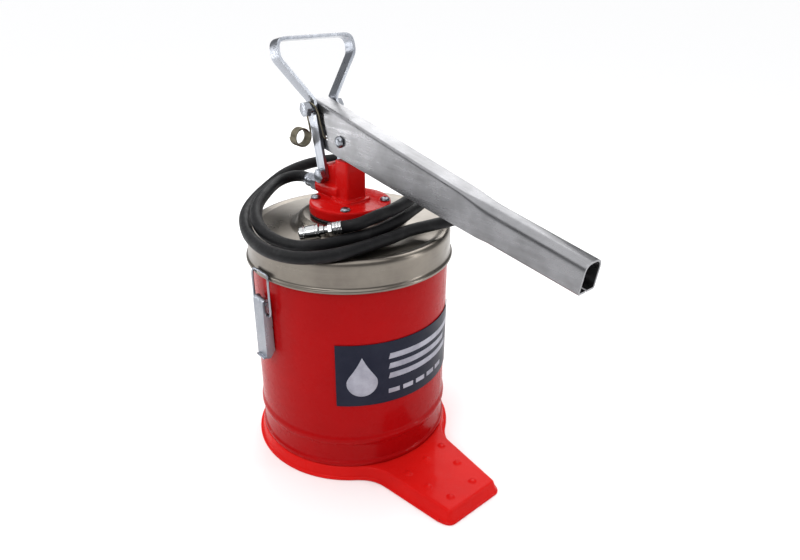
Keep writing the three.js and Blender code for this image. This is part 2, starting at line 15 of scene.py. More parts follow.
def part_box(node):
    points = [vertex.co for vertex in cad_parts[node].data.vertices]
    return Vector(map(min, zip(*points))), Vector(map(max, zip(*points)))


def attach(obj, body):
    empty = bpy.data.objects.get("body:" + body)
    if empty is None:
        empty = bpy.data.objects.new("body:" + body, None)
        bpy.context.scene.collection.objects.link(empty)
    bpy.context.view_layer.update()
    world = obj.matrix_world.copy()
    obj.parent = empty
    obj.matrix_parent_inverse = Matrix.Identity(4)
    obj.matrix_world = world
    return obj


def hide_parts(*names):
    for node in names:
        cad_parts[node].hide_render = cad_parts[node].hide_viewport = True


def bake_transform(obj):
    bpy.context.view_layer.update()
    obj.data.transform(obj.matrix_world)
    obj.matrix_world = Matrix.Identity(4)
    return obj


MM = 0.001
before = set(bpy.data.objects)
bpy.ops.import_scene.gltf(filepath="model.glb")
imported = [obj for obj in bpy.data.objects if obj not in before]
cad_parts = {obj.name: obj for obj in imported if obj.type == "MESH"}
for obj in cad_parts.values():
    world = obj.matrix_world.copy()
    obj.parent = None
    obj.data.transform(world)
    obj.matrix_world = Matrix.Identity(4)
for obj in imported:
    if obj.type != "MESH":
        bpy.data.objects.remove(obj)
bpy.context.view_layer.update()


# ---------- places read from the frame ----------
def centre(node):
    low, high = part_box(node)
    return (low + high) / 2


AXIS = centre("bucket_body").x / MM
PUMP = centre("pump_tube").x / MM
LOWER_BOLT = centre("lower_nut") / MM
FULCRUM = centre("upper_nut") / MM
ROD_PIN = centre("rod_pin_nut") / MM
OUTLET = centre("outlet_fitting") / MM
SCREWS = [centre(f"head_screw_{i}") / MM for i in range(1, 5)]
STRAP_LEAN = math.atan2(LOWER_BOLT.x - FULCRUM.x, FULCRUM.z - LOWER_BOLT.z)
HOSE_RADIUS = 5.75


# ---------- camera, matched to the viewing angle of the reference ----------
def add_camera():
    azimuth, elevation, roll = math.radians(48.41), math.radians(25.92), math.radians(0.66)
    distance, lens = 674.4, 29.02
    right = Vector((math.cos(azimuth), math.sin(azimuth), 0))
    back = Vector((math.sin(azimuth) * math.cos(elevation), -math.cos(azimuth) * math.cos(elevation),
                   math.sin(elevation)))
    target = Vector((AXIS, 0, 175.61)) + right * 51.2
    camera = bpy.data.objects.new("camera", bpy.data.cameras.new("camera"))
    camera.data.lens = lens
    camera.data.sensor_width = 36
    camera.data.clip_start, camera.data.clip_end = 0.02, 300
    camera.location = (target + back * distance) * MM
    turn = Matrix((right, back.cross(right), back)).transposed()
    camera.rotation_euler = (turn @ Matrix.Rotation(roll, 3, "Z")).to_euler()
    bpy.context.collection.objects.link(camera)
    bpy.context.scene.camera = camera


add_camera()


# ---------- material building ----------
class Shader:
    """A node tree with short calls for the nodes that the finishes share."""

    def __init__(self, name):
        self.material = bpy.data.materials.new(name)
        self.material.use_nodes = True
        self.tree = self.material.node_tree
        self.surface = self.tree.nodes["Principled BSDF"]
        self.coordinates = self.tree.nodes.new("ShaderNodeTexCoord")

    def set(self, **values):
        for name, value in values.items():
            self.surface.inputs[name.replace("_", " ")].default_value = value

    def link(self, source, socket):
        self.tree.links.new(source, self.surface.inputs[socket])

    def mapped(self, scale, source="Object"):
        node = self.tree.nodes.new("ShaderNodeMapping")
        node.inputs["Scale"].default_value = scale
        self.tree.links.new(self.coordinates.outputs[source], node.inputs["Vector"])
        return node.outputs["Vector"]

    def noise(self, scale, detail=4, roughness=0.55, vector=None):
        node = self.tree.nodes.new("ShaderNodeTexNoise")
        node.inputs["Scale"].default_value = scale
        node.inputs["Detail"].default_value = detail
        node.inputs["Roughness"].default_value = roughness
        self.tree.links.new(vector or self.coordinates.outputs["Object"], node.inputs["Vector"])
        return node.outputs["Fac"]

    def span(self, value, low, high, to_low, to_high):
        node = self.tree.nodes.new("ShaderNodeMapRange")
        limits = {"From Min": low, "From Max": high, "To Min": to_low, "To Max": to_high}
        for name, number in limits.items():
            node.inputs[name].default_value = number
        self.tree.links.new(value, node.inputs["Value"])
        return node.outputs["Result"]

    def math(self, operation, first, second):
        node = self.tree.nodes.new("ShaderNodeMath")
        node.operation = operation
        for socket, value in zip(node.inputs, (first, second)):
            if isinstance(value, (int, float)):
                socket.default_value = value
            else:
                self.tree.links.new(value, socket)
        return node.outputs["Value"]

    def mix(self, factor, first, second):
        node = self.tree.nodes.new("ShaderNodeMix")
        node.data_type = "RGBA"
        self.tree.links.new(factor, node.inputs["Factor"])
        for socket, colour in ((node.inputs["A"], first), (node.inputs["B"], second)):
            if isinstance(colour, tuple):
                socket.default_value = (*colour, 1)
            else:
                self.tree.links.new(colour, socket)
        return node.outputs["Result"]

    def bump(self, height, distance, strength=1.0, normal=None):
        node = self.tree.nodes.new("ShaderNodeBump")
        node.inputs["Distance"].default_value = distance
        node.inputs["Strength"].default_value = strength
        self.tree.links.new(height, node.inputs["Height"])
        if normal is not None:
            self.tree.links.new(normal, node.inputs["Normal"])
        return node.outputs["Normal"]

    def edges(self, low=0.53, high=0.6):
        node = self.tree.nodes.new("ShaderNodeNewGeometry")
        return self.span(node.outputs["Pointiness"], low, high, 0, 1)


def enamel(name, colour, dark, texture, coarse):
    """Stoved red enamel: flow in the coat, faint dust, and bare metal on the sharpest edges."""
    s = Shader(name)
    tone = s.span(s.noise(9, 3), 0.35, 0.65, 0, 1)
    paint = s.mix(tone, colour, dark)
    chips = s.math("MULTIPLY", s.edges(0.56, 0.64), s.span(s.noise(420, 6, 0.7), 0.52, 0.6, 0, 1))
    s.link(s.mix(chips, paint, (0.16, 0.12, 0.11)), "Base Color")
    s.link(s.span(s.noise(60, 5, 0.65), 0.3, 0.7, 0.2, 0.36), "Roughness")
    flow = s.bump(s.noise(texture, 2), 0.0004 * coarse, 0.25)
    s.link(s.bump(s.noise(texture * 9, 4), 0.00006 * coarse, 0.2, flow), "Normal")
    s.set(Coat_Weight=0.16, Coat_Roughness=0.05, Coat_IOR=1.25, Specular_IOR_Level=0.04)
    return s.material


def bright_metal(name, colour, rough, streaks, stain=None, wear=0.06, scratch=0.00002):
    """Plated metal: streaks along one direction, cloudy roughness, fine handling scratches, and a painted
    highlight: the base colour is lighter on sharp edges.
    """
    s = Shader(name)
    grain = s.noise(1, 6, 0.7, s.mapped(streaks))
    cloud = s.noise(26, 4, 0.6)
    rough_now = s.math("ADD", s.span(grain, 0.3, 0.7, rough - wear, rough + wear),
                       s.span(cloud, 0.4, 0.75, 0, wear * 1.3))
    s.link(rough_now, "Roughness")
    shade = tuple(c * 0.86 for c in colour)
    blend = s.math("MULTIPLY", s.span(cloud, 0.42, 0.62, 0, 1), s.span(grain, 0.3, 0.7, 0.4, 1))
    tint = s.mix(blend, colour, stain or shade)
    # Painted highlight: the base colour is lighter on sharp edges, where bevels catch the light.
    s.link(s.mix(s.edges(), tint, tuple(min(1, c * 1.18) for c in colour)), "Base Color")
    fine = s.bump(grain, scratch, 0.5)
    s.link(s.bump(s.noise(700, 3), scratch * 0.4, 0.25, fine), "Normal")
    s.set(Metallic=1.0)
    return s.material


def hose_rubber():
    """Wrapped hose cover: the print of the curing tape runs round it, with dust and scuffs."""
    s = Shader("hose_cover")
    along = s.tree.nodes.new("ShaderNodeTexWave")
    along.wave_type = "BANDS"
    along.inputs["Scale"].default_value = 1
    along.inputs["Distortion"].default_value = 1.5
    along.inputs["Detail"].default_value = 2
    s.tree.links.new(s.mapped((60, 2.2, 1), "UV"), along.inputs["Vector"])
    dust = s.span(s.noise(55, 6, 0.65), 0.5, 0.72, 0, 1)
    s.link(s.mix(dust, (0.006, 0.006, 0.007), (0.018, 0.018, 0.019)), "Base Color")
    s.link(s.span(s.noise(130, 5, 0.7), 0.3, 0.7, 0.42, 0.62), "Roughness")
    wrap = s.bump(along.outputs["Fac"], 0.00012, 0.55)
    s.link(s.bump(s.noise(900, 4), 0.00006, 0.5, wrap), "Normal")
    s.set(Specular_IOR_Level=0.2)
    return s.material


def plain_rubber():
    s = Shader("seal_rubber")
    s.link(s.mix(s.span(s.noise(80, 4), 0.4, 0.7, 0, 1), (0.012, 0.012, 0.013), (0.03, 0.03, 0.03)),
           "Base Color")
    s.link(s.span(s.noise(200, 4), 0.3, 0.7, 0.45, 0.65), "Roughness")
    s.link(s.bump(s.noise(500, 3), 0.00005, 0.4), "Normal")
    return s.material


def film(name, colour, second, rough, metallic=0.0):
    """Printed vinyl: grain in the ink, a clear coat and slight waves from the glue."""
    s = Shader(name)
    s.link(s.mix(s.span(s.noise(45, 5, 0.7), 0.35, 0.65, 0, 1), colour, second), "Base Color")
    s.link(s.span(s.noise(70, 4), 0.3, 0.7, rough - 0.06, rough + 0.08), "Roughness")
    s.link(s.bump(s.noise(40, 3), 0.0002, 0.18), "Normal")
    s.set(Metallic=metallic, Coat_Weight=0.05, Coat_Roughness=0.2, Specular_IOR_Level=0.08)
    return s.material


RED = enamel("bucket_enamel", (0.40, 0.003, 0.004), (0.345, 0.003, 0.004), 45, 1.0)
# Painted light: the base's red is a lighter copy of the bucket's enamel, standing in for the stronger light
# from above on its upward faces.
BASE_RED_PAINTED_LIGHT = enamel("base_enamel_painted_light", (0.68, 0.010, 0.008), (0.59, 0.008, 0.007), 45, 1.0)
CAST_RED = enamel("cast_enamel", (0.62, 0.007, 0.006), (0.50, 0.005, 0.005), 130, 2.4)
NICKEL = bright_metal("lid_nickel", (0.215, 0.193, 0.165), 0.29, (6, 6, 240), (0.17, 0.15, 0.13), 0.04,
                      0.00001)
BRUSHED = bright_metal("lever_plate", (0.25, 0.25, 0.26), 0.27, (14, 260, 260), (0.17, 0.17, 0.175))
ZINC = bright_metal("zinc_plate", (0.30, 0.315, 0.345), 0.28, (170, 170, 60), (0.22, 0.235, 0.27))
CHROME = bright_metal("coupler_chrome", (0.48, 0.48, 0.48), 0.12, (90, 90, 260), None, 0.04)
WIRE = bright_metal("spring_wire", (0.20, 0.18, 0.13), 0.36, (300, 300, 300), (0.10, 0.09, 0.07))
MACHINED = bright_metal("turned_steel", (0.50, 0.51, 0.52), 0.30, (60, 60, 900), (0.38, 0.37, 0.35))
RUBBER = hose_rubber()
SEAL = plain_rubber()
LABEL = film("label_film", (0.010, 0.012, 0.026), (0.016, 0.018, 0.034), 0.36)
SILVER = film("label_silver", (0.40, 0.40, 0.46), (0.27, 0.27, 0.32), 0.40, 0.5)


# ---------- mesh building ----------
def finish_piece(mesh, name, material, body, nodes=(), bevel=0.0, segments=3, sharp=32):
    """Turns a bmesh in millimetres into a piece that rides on its body.
"""
    bmesh.ops.recalc_face_normals(mesh, faces=mesh.faces)
    bmesh.ops.scale(mesh, vec=(MM, MM, MM), verts=mesh.verts)
    data = bpy.data.meshes.new(name)
    mesh.to_mesh(data)
    mesh.free()
    data.shade_smooth()
    data.set_sharp_from_angle(angle=math.radians(sharp))
    piece = bpy.data.objects.new(name, data)
    bpy.context.collection.objects.link(piece)
    data.materials.append(material)
    if bevel:
        rounding = piece.modifiers.new("rounding", "BEVEL")
        rounding.width = bevel * MM
        rounding.segments = segments
        rounding.limit_method = "ANGLE"
        rounding.angle_limit = math.radians(sharp)
        rounding.harden_normals = True
    if body:
        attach(piece, body)
    if nodes:
        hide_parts(*nodes)
    return piece


def softened(profile, radius, steps=4, closed=False):
    """The profile with each corner rounded by up to the radius."""
    points = [Vector(point) for point in profile]
    out = []
    for i, here in enumerate(points):
        if not closed and i in (0, len(points) - 1):
            out.append(here)
            continue
        back, ahead = points[i - 1] - here, points[(i + 1) % len(points)] - here
        reach = min(radius, back.length * 0.45, ahead.length * 0.45)
        start, end = here + back.normalized() * reach, here + ahead.normalized() * reach
        for k in range(steps + 1):
            t = k / steps
            out.append(start * (1 - t) ** 2 + here * 2 * t * (1 - t) + end * t * t)
    return out


def turned(profile, place=(0, 0, 0), axis=(0, 0, 1), segments=96, radius=0.4, closed=False, steps=4):
    """A body turned about an axis; the profile is [radius, height] from axis to axis, or a closed ring."""
    mesh = bmesh.new()
    turn = Vector((0, 0, 1)).rotation_difference(Vector(axis)).to_matrix()
    points = softened(profile, radius, steps, closed)
    rings = []
    for r, z in points:
        if r < 1e-6:
            rings.append([mesh.verts.new(turn @ Vector((0, 0, z)) + Vector(place))])
            continue
        ring = []
        for i in range(segments):
            angle = 2 * math.pi * i / segments
            spot = Vector((r * math.cos(angle), r * math.sin(angle), z))
            ring.append(mesh.verts.new(turn @ spot + Vector(place)))
        rings.append(ring)
    skin(mesh, rings, closed)
    return mesh


def skin(mesh, rings, closed=False):
    """Faces between neighbouring rings; a ring of one vertex is a tip."""
    pairs = list(zip(rings, rings[1:])) + ([(rings[-1], rings[0])] if closed else [])
    for a, b in pairs:
        count = max(len(a), len(b))
        if count == 1:
            continue
        for i in range(count):
            j = (i + 1) % count
            corners = [a[i % len(a)], a[j % len(a)], b[j % len(b)], b[i % len(b)]]
            corners = list(dict.fromkeys(corners))
            if len(corners) > 2:
                mesh.faces.new(corners)


def prism(outline, low, high, place=lambda u, v, w: (u, v, w)):
    """An outline of (u, v) points carried from low to high; place turns (u, v, w) into a position."""
    mesh = bmesh.new()
    rings = [[mesh.verts.new(place(u, v, w)) for u, v in outline] for w in (low, high)]
    skin(mesh, rings)
    mesh.faces.new(rings[0])
    mesh.faces.new(list(reversed(rings[1])))
    return mesh


def merged(*meshes):
    whole = meshes[0]
    for other in meshes[1:]:
        data = bpy.data.meshes.new("part")
        other.to_mesh(data)
        other.free()
        whole.from_mesh(data)
        bpy.data.meshes.remove(data)
    return whole


def combined(first, second, operation):
    """Boolean of two bmeshes, through Blender's exact solver."""
    objects = []
    for mesh in (first, second):
        bmesh.ops.recalc_face_normals(mesh, faces=mesh.faces)
        data = bpy.data.meshes.new("boolean")
        mesh.to_mesh(data)
        mesh.free()
        thing = bpy.data.objects.new("boolean", data)
        bpy.context.collection.objects.link(thing)
        objects.append(thing)
    change = objects[0].modifiers.new("boolean", "BOOLEAN")
    change.operation = operation
    change.object = objects[1]
    change.solver = "EXACT"
    result = bmesh.new()
    result.from_mesh(objects[0].evaluated_get(bpy.context.evaluated_depsgraph_get()).data)
    for thing in objects:
        data = thing.data
        bpy.data.objects.remove(thing)
        bpy.data.meshes.remove(data)
    return result


def cut(mesh, *tools):
    for tool in tools:
        mesh = combined(mesh, tool, "DIFFERENCE")
    return mesh


def join(mesh, *others):
    for other in others:
        mesh = combined(mesh, other, "UNION")
    return mesh


def sweep(path, section, fixed=None):
    """Carries a closed section along a path. Its first axis is across the path, its second is up.

    fixed keeps one direction for the section's first axis, as in a strip bent in one plane."""
    mesh = bmesh.new()
    rings = []
    side = None
    for i, here in enumerate(path):
        ahead = (path[min(i + 1, len(path) - 1)] - path[max(i - 1, 0)]).normalized()
        if fixed is not None:
            side = Vector(fixed)
        elif side is None:
            side = ahead.cross(Vector((0, 0, 1))).normalized()
        else:
            side = (side - ahead * side.dot(ahead)).normalized()
        up = ahead.cross(side)
        outline = section(i / (len(path) - 1)) if callable(section) else section
        rings.append([mesh.verts.new(here + side * a + up * b) for a, b in outline])
    skin(mesh, rings)
    mesh.faces.new(rings[0])
    mesh.faces.new(list(reversed(rings[-1])))
    return mesh


def circle(radius, sides):
    return [(radius * math.cos(2 * math.pi * i / sides), radius * math.sin(2 * math.pi * i / sides))
            for i in range(sides)]


def curve_through(points, per_span=10):
    """Centripetal Catmull-Rom through the points, as the CAD tube is."""
    points = [Vector(point) for point in points]
    ends = [points[0] * 2 - points[1], *points, points[-1] * 2 - points[-2]]
    out = []
    for p0, p1, p2, p3 in zip(ends, ends[1:], ends[2:], ends[3:]):
        d0, d1, d2 = (max((b - a).length ** 0.5, 1e-4) for a, b in ((p0, p1), (p1, p2), (p2, p3)))
        m1 = ((p1 - p0) / d0 - (p2 - p0) / (d0 + d1) + (p2 - p1) / d1) * d1
        m2 = ((p2 - p1) / d1 - (p3 - p1) / (d1 + d2) + (p3 - p2) / d2) * d1
        for k in range(per_span):
            t = k / per_span
            out.append(p1 * (2 * t ** 3 - 3 * t ** 2 + 1) + m1 * (t ** 3 - 2 * t ** 2 + t)
                       + p2 * (3 * t ** 2 - 2 * t ** 3) + m2 * (t ** 3 - t ** 2))
    out.append(points[-1])
    return out


def hexagon(across_flats, x, z, turn=0.0):
    radius = across_flats / math.sqrt(3)
    return [(x + radius * math.cos(turn + math.pi * k / 3), z + radius * math.sin(turn + math.pi * k / 3))
            for k in range(6)]


# ---------- the hose, built first of the pieces ----------------
HOSE_ROUTE = [
    (-0.1473, -0.005, 0.271), (-0.157, -0.005, 0.271), (-0.166, -0.013, 0.2705), (-0.167, -0.029, 0.268),
    (-0.149, -0.057, 0.264), (-0.1315, -0.076, 0.26), (-0.111, -0.0885, 0.2545), (-0.0925, -0.0925, 0.25),
    (-0.0735, -0.0915, 0.2474), (-0.051, -0.084, 0.2468), (-0.039, -0.0645, 0.2468),
    (-0.0345, -0.0395, 0.2469), (-0.027, -0.016, 0.2502), (-0.025, 0.0105, 0.2555),
    (-0.0375, 0.045, 0.257), (-0.0495, 0.08, 0.2575), (-0.0375, 0.1005, 0.258), (-0.009, 0.0885, 0.2575),
    (0.005, 0.062, 0.255), (-0.0045, 0.0395, 0.251), (-0.0115, 0.015, 0.249), (-0.0115, -0.012, 0.2475),
    (-0.0155, -0.0715, 0.2467), (-0.0295, -0.097, 0.2468), (-0.0555, -0.1085, 0.2468),
    (-0.0865, -0.107, 0.247), (-0.1185, -0.0965, 0.2472), (-0.1505, -0.079, 0.248),
    (-0.1735, -0.057, 0.251), (-0.185, -0.034, 0.2575), (-0.185, -0.009, 0.269), (-0.1825, 0.025, 0.275),
    (-0.157, 0.05, 0.28), (-0.102, 0.054, 0.2815), (-0.055, 0.047, 0.279), (-0.0315, 0.036, 0.274),
    (-0.024, 0.0095, 0.2695), (-0.028, -0.014, 0.2645), (-0.0329, -0.0298, 0.2599),
    (-0.042, -0.04, 0.257),
]
HOSE_END = Vector(HOSE_ROUTE[-1]) / MM
COUPLER_MOUTH = Vector((AXIS + 17, -69, 248.8))
COUPLER_AXIS = (COUPLER_MOUTH - HOSE_END).normalized()


def add_hose():
    path = curve_through([Vector(point) / MM for point in HOSE_ROUTE], 12)
    sides = 24
    mesh = sweep(path, circle(HOSE_RADIUS, sides))
    layer = mesh.loops.layers.uv.new("UVMap")
    mesh.verts.index_update()
    for face in mesh.faces:
        for loop in face.loops:
            ring, corner = divmod(loop.vert.index, sides)
            wrapped = corner + (sides if corner == 0 and any(
                other.vert.index % sides == sides - 1 for other in face.loops) else 0)
            loop[layer].uv = (ring / (len(path) - 1) * 8 + wrapped / sides * 0.05, wrapped / sides)
    hose = finish_piece(mesh, "hose_tube", RUBBER, "base", ["hose"])
    length = sum((b - a).length for a, b in zip(path, path[1:])) * MM
    return hose, [point * MM for point in path], length


def add_coupler():
    def part(name, profile, node, radius=0.3):
        mesh = turned(profile, HOSE_END, COUPLER_AXIS, 64, radius)
        return finish_piece(mesh, name, CHROME, "base", [node])

    ferrule = [(0, 0.3), (6, 0.3), (6.4, 0.9), (6.4, 2.2), (6, 2.5), (6, 3.1), (6.4, 3.4), (6.4, 5),
               (6, 5.3), (6, 5.9), (6.4, 6.2), (6.4, 8.6), (5.8, 9.2), (0, 9.2)]
    pieces = [part("coupler_crimp", ferrule, "coupler_ferrule", 0.25)]
    across = COUPLER_AXIS.cross(Vector((0, 0, 1))).normalized()
    up = across.cross(COUPLER_AXIS)

    def hexed(u, v, w):
        return HOSE_END + across * u + up * v + COUPLER_AXIS * w

    hexagonal = prism(hexagon(11, 0, 0), 9.5, 13.2, hexed)
    neck = turned([(0, 12), (4, 12), (4, 16.3), (0, 16.3)], HOSE_END, COUPLER_AXIS, 48, 0.1)
    pieces.append(finish_piece(merged(hexagonal, neck), "coupler_hex", CHROME, "base",
                               ["coupler_adaptor"], bevel=0.35))
    shell = turned([(0, 16.6), (4.5, 16.6), (5, 17.2), (5, 21), (6.6, 21.5), (7.1, 22.2), (7.1, 24),
                    (6.85, 24.2), (6.85, 24.8), (7.1, 25), (7.1, 33.4), (6.6, 33.8), (6.6, 35.2),
                    (7.1, 35.6), (7.1, 39.0), (6.4, 40), (4.1, 40), (4.1, 33),
                    (0, 33)], HOSE_END, COUPLER_AXIS, 72, 0.25)
    slots = [prism([(-9, -0.5), (9, -0.5), (9, 0.5), (-9, 0.5)], 35.4, 42, hexed),
             prism([(-0.5, -9), (0.5, -9), (0.5, 9), (-0.5, 9)], 35.4, 42, hexed)]
    pieces.append(finish_piece(cut(shell, *slots), "coupler_jaws", CHROME, "base",
                               ["coupler_body"], bevel=0.15, segments=2))
    return pieces


def add_outlet():
    along = (-1, 0, 0)
    start = Vector((OUTLET.x + 4.15, OUTLET.y, OUTLET.z))
    hexed = prism(hexagon(17, 0, 0, math.pi / 6), 0, 8.3, lambda u, v, w: start + Vector((-w, u, v)))
    fitting = finish_piece(hexed, "outlet_hex", ZINC, "base", ["outlet_fitting"], bevel=0.6)
    back = Vector((OUTLET.x - 4.45, OUTLET.y, OUTLET.z))
    outer, groove = HOSE_RADIUS + 1.6, HOSE_RADIUS + 1.2
    crimp = [(0, 0), (groove, 0), (outer, 0.8), (outer, 3), (groove, 3.3), (groove, 4.2), (outer, 4.5),
             (outer, 7.5), (groove, 7.8), (groove, 8.7), (outer, 9), (outer, 12.4), (groove, 13.8),
             (groove - 0.6, 14.5), (0, 14.5)]
    ferrule = finish_piece(turned(crimp, back, along, 64, 0.3), "outlet_crimp", ZINC, "base",
                           ["hose_ferrule"])
    return [fitting, ferrule]


hose, hose_path, hose_length = add_hose()
add_coupler() + add_outlet()


# ---------- base pressing with the foot pedal ----------
PLATE_TOP = 13.3
PEDAL_END = 186.5
PEDAL_CORNER = 3.5
PEDAL_STUDS = [(123, -27), (149, -24), (173, -17), (119, 2), (115, 28), (144, 22), (172, 14.5)]


def ease(t):
    t = min(1, max(0, t))
    return t * t * (3 - 2 * t)


def bow(start, control, end, steps):
    """Points of a quadratic arc, without its end."""
    start, control, end = Vector(start), Vector(control), Vector(end)
    shares = [k / steps for k in range(steps)]
    return [start * (1 - t) ** 2 + control * 2 * t * (1 - t) + end * t ** 2 for t in shares]


def pedal_half(x):
    return 31 - 0.13 * (x - 190)


def base_outline():
    """Edge of the plateau as (x, y) about the bucket axis, counter-clockwise from the pedal's root."""
    root = (84, 58)
    right = bow((84, -58), (97, -pedal_half(97)), (112, -pedal_half(112)), 14)
    turn = PEDAL_END - PEDAL_CORNER
    side = PEDAL_CORNER - pedal_half(PEDAL_END)
    right += bow((112, -pedal_half(112)), (145, -pedal_half(145)), (turn, -pedal_half(turn)), 14)
    right += bow((turn, -pedal_half(turn)), (PEDAL_END, -pedal_half(PEDAL_END)), (PEDAL_END, side), 10)
    end = [Vector((PEDAL_END, side - 2 * side * k / 12)) for k in range(12)]
    left = [Vector((p.x, -p.y)) for p in reversed(right[1:])]
    start = math.atan2(58, 84)
    disc = [Vector((101.8 * math.cos(start + (2 * math.pi - 2 * start) * k / 150),
                    101.8 * math.sin(start + (2 * math.pi - 2 * start) * k / 150))) for k in range(150)]
    return right + end + [Vector((PEDAL_END, -side))] + left + [Vector(root)] + disc[1:]


def add_base():
    outline = base_outline()
    count = len(outline)
    normals = []
    for i in range(count):
        ahead = outline[(i + 1) % count] - outline[i - 1]
        normals.append(Vector((ahead.y, -ahead.x)).normalized())
    for _ in range(2):
        normals = [(normals[i - 1] + normals[i] * 2 + normals[(i + 1) % count]).normalized()
                   for i in range(count)]
    # rows of the pressing's section: share of the flank's spread, extra reach, share of the lip, height
    rows = [(0, -2.4, 0, 13.3), (0, -1.3, 0, 13.15), (0, -0.4, 0, 12.6), (0.05, 0, 0, 11.7),
            (0.3, 0, 0, 9), (0.7, 0, 0, 5.2), (0.92, 0, 0, 3.5), (1.0, 0.3, 0, 2.5), (1.0, 0.9, 0, 2.1),
            (0, -1.6, 1, 2.0), (0, -0.5, 1, 1.9), (0, 0, 1, 1.4), (0, 0, 1, 0.5), (0, -0.4, 1, 0),
            (1.0, -0.8, 0, 0), (1.0, -1.6, 0, 1.2), (0.3, -2.2, 0, 9), (0, -2.8, 0, 11.3)]
    mesh = bmesh.new()
    rings = []
    for spread, extra, lip_share, height in rows:
        ring = []
        for point, normal in zip(outline, normals):
            pedal = ease((point.x - 84) / 28)
            spread_here = 2.0 + 1.6 * pedal
            lip = 4.7 + 1.9 * pedal - 1.8 * ease((point.x - 178) / 8)
            reach = spread * spread_here + extra + lip_share * lip
            x, y = AXIS + point.x + normal.x * reach, point.y + normal.y * reach
            ring.append(mesh.verts.new((x, y, height)))
        rings.append(ring)
    skin(mesh, rings)
    mesh.faces.new(rings[0])
    mesh.faces.new(list(reversed(rings[-1])))
    studs = [turned([(5.4, PLATE_TOP - 0.3), (4.6, PLATE_TOP + 0.02), (3.6, PLATE_TOP + 0.2),
                     (2.7, PLATE_TOP + 0.65), (1.9, PLATE_TOP + 1.0), (1, PLATE_TOP + 1.15),
                     (0, PLATE_TOP + 1.2)],
                    (AXIS + x, y, 0), segments=32, radius=0.3)
             for x, y in PEDAL_STUDS]
    return finish_piece(merged(mesh, *studs), "base_pressing", BASE_RED_PAINTED_LIGHT, "base",
                        ["base_plate"], sharp=50)


add_base()


# ---------- bucket, label and lid ----------
SEAM_ANGLE = 31
LABEL_SPAN = 46.5
LABEL_RADIUS = 100.0
LABEL_FILM = 0.5
PRINT_FILM = 0.08


def add_bucket():
    profile = [(0, 15.2), (97.5, 15.2), (99.2, 13.7), (101.2, 13.8), (101.4, 16), (101.2, 18),
               (100.0, 19.1), (99.5, 20.5), (99.5, 38.5), (100.1, 40.2), (101.1, 42.2), (101.4, 44.5),
               (101.1, 46.8), (100.1, 48.8), (99.5, 50.5), (99.5, 130), (99.5, 212), (99.5, 233.2),
               (99.2, 233.5), (98.5, 233.5), (98.3, 233.2), (98.3, 17.5), (97.8, 17), (0, 17)]
    mesh = turned(profile, (AXIS, 0, 0), segments=540, radius=1.0, steps=2)
    for vert in mesh.verts:
        flat = Vector((vert.co.x - AXIS, vert.co.y))
        if 99 < flat.length < 102 and vert.co.z > 14:
            off = (math.degrees(math.atan2(flat.y, flat.x)) - SEAM_ANGLE) * math.radians(flat.length)
            grown = flat * (1 + 0.0028 * math.exp(-(off / 1.1) ** 2))
            vert.co.x, vert.co.y = AXIS + grown.x, grown.y
    return finish_piece(mesh, "bucket_wall", RED, "base", ["bucket_body"], sharp=40)


def wrapped_bar(u0, u1, z0, z1, radius, thickness, slant=0.0):
    """A bar of film: a row of quads so that it follows the curve."""
    steps = max(2, int((u1 - u0) / 2))
    mesh = bmesh.new()
    rings = []
    for k in range(steps + 1):
        u = u0 + (u1 - u0) * k / steps
        ring = []
        for z, r in ((z0, radius), (z0, radius + thickness), (z1, radius + thickness), (z1, radius)):
            angle = (u + slant * (z - z0)) / LABEL_RADIUS
            ring.append(mesh.verts.new((AXIS + r * math.cos(angle), r * math.sin(angle), z)))
        rings.append(ring)
    skin(mesh, rings)
    mesh.faces.new(rings[0])
    mesh.faces.new(list(reversed(rings[-1])))
    return mesh


def wrapped_droplet(u, z, size, radius, thickness):
    """A droplet of film with its point up, size being the radius of its round end."""
    mesh = bmesh.new()
    rings = []
    for k in range(41):
        share = -0.995 * math.cos(math.pi * k / 40)
        round_part = math.sqrt(1 - share * share)
        low = z - size * round_part
        high = z + size * (0.8 * round_part + 1.1 * (1 - abs(share)) ** 2)
        angle = (u + size * share) / LABEL_RADIUS
        rings.append([mesh.verts.new((AXIS + r * math.cos(angle), r * math.sin(angle), h))
                      for h, r in ((low, radius), (low, radius + thickness), (high, radius + thickness),
                                   (high, radius))])
    skin(mesh, rings)
    mesh.faces.new(rings[0])
    mesh.faces.new(list(reversed(rings[-1])))
    return mesh


def add_label():
    half = math.radians(LABEL_SPAN) * LABEL_RADIUS
    sheet = wrapped_bar(-half, half, 88, 156, LABEL_RADIUS, LABEL_FILM)
    finish_piece(sheet, "label_sheet", LABEL, "base", ["label"], bevel=0.15, segments=2)
    face = LABEL_RADIUS + LABEL_FILM
    art = [wrapped_droplet(-56, 114, 15, face, PRINT_FILM)]
    for k, (start, end) in enumerate(((-30, 66), (-30, 52), (-30, 60))):
        art.append(wrapped_bar(start, end, 137 - 11 * k, 143 - 11 * k, face, PRINT_FILM, 0.25))
    art += [wrapped_bar(-30 + 16 * k, -18 + 16 * k, 98, 103, face, PRINT_FILM) for k in range(5)]
    finish_piece(merged(*art), "label_print", SILVER, "base")


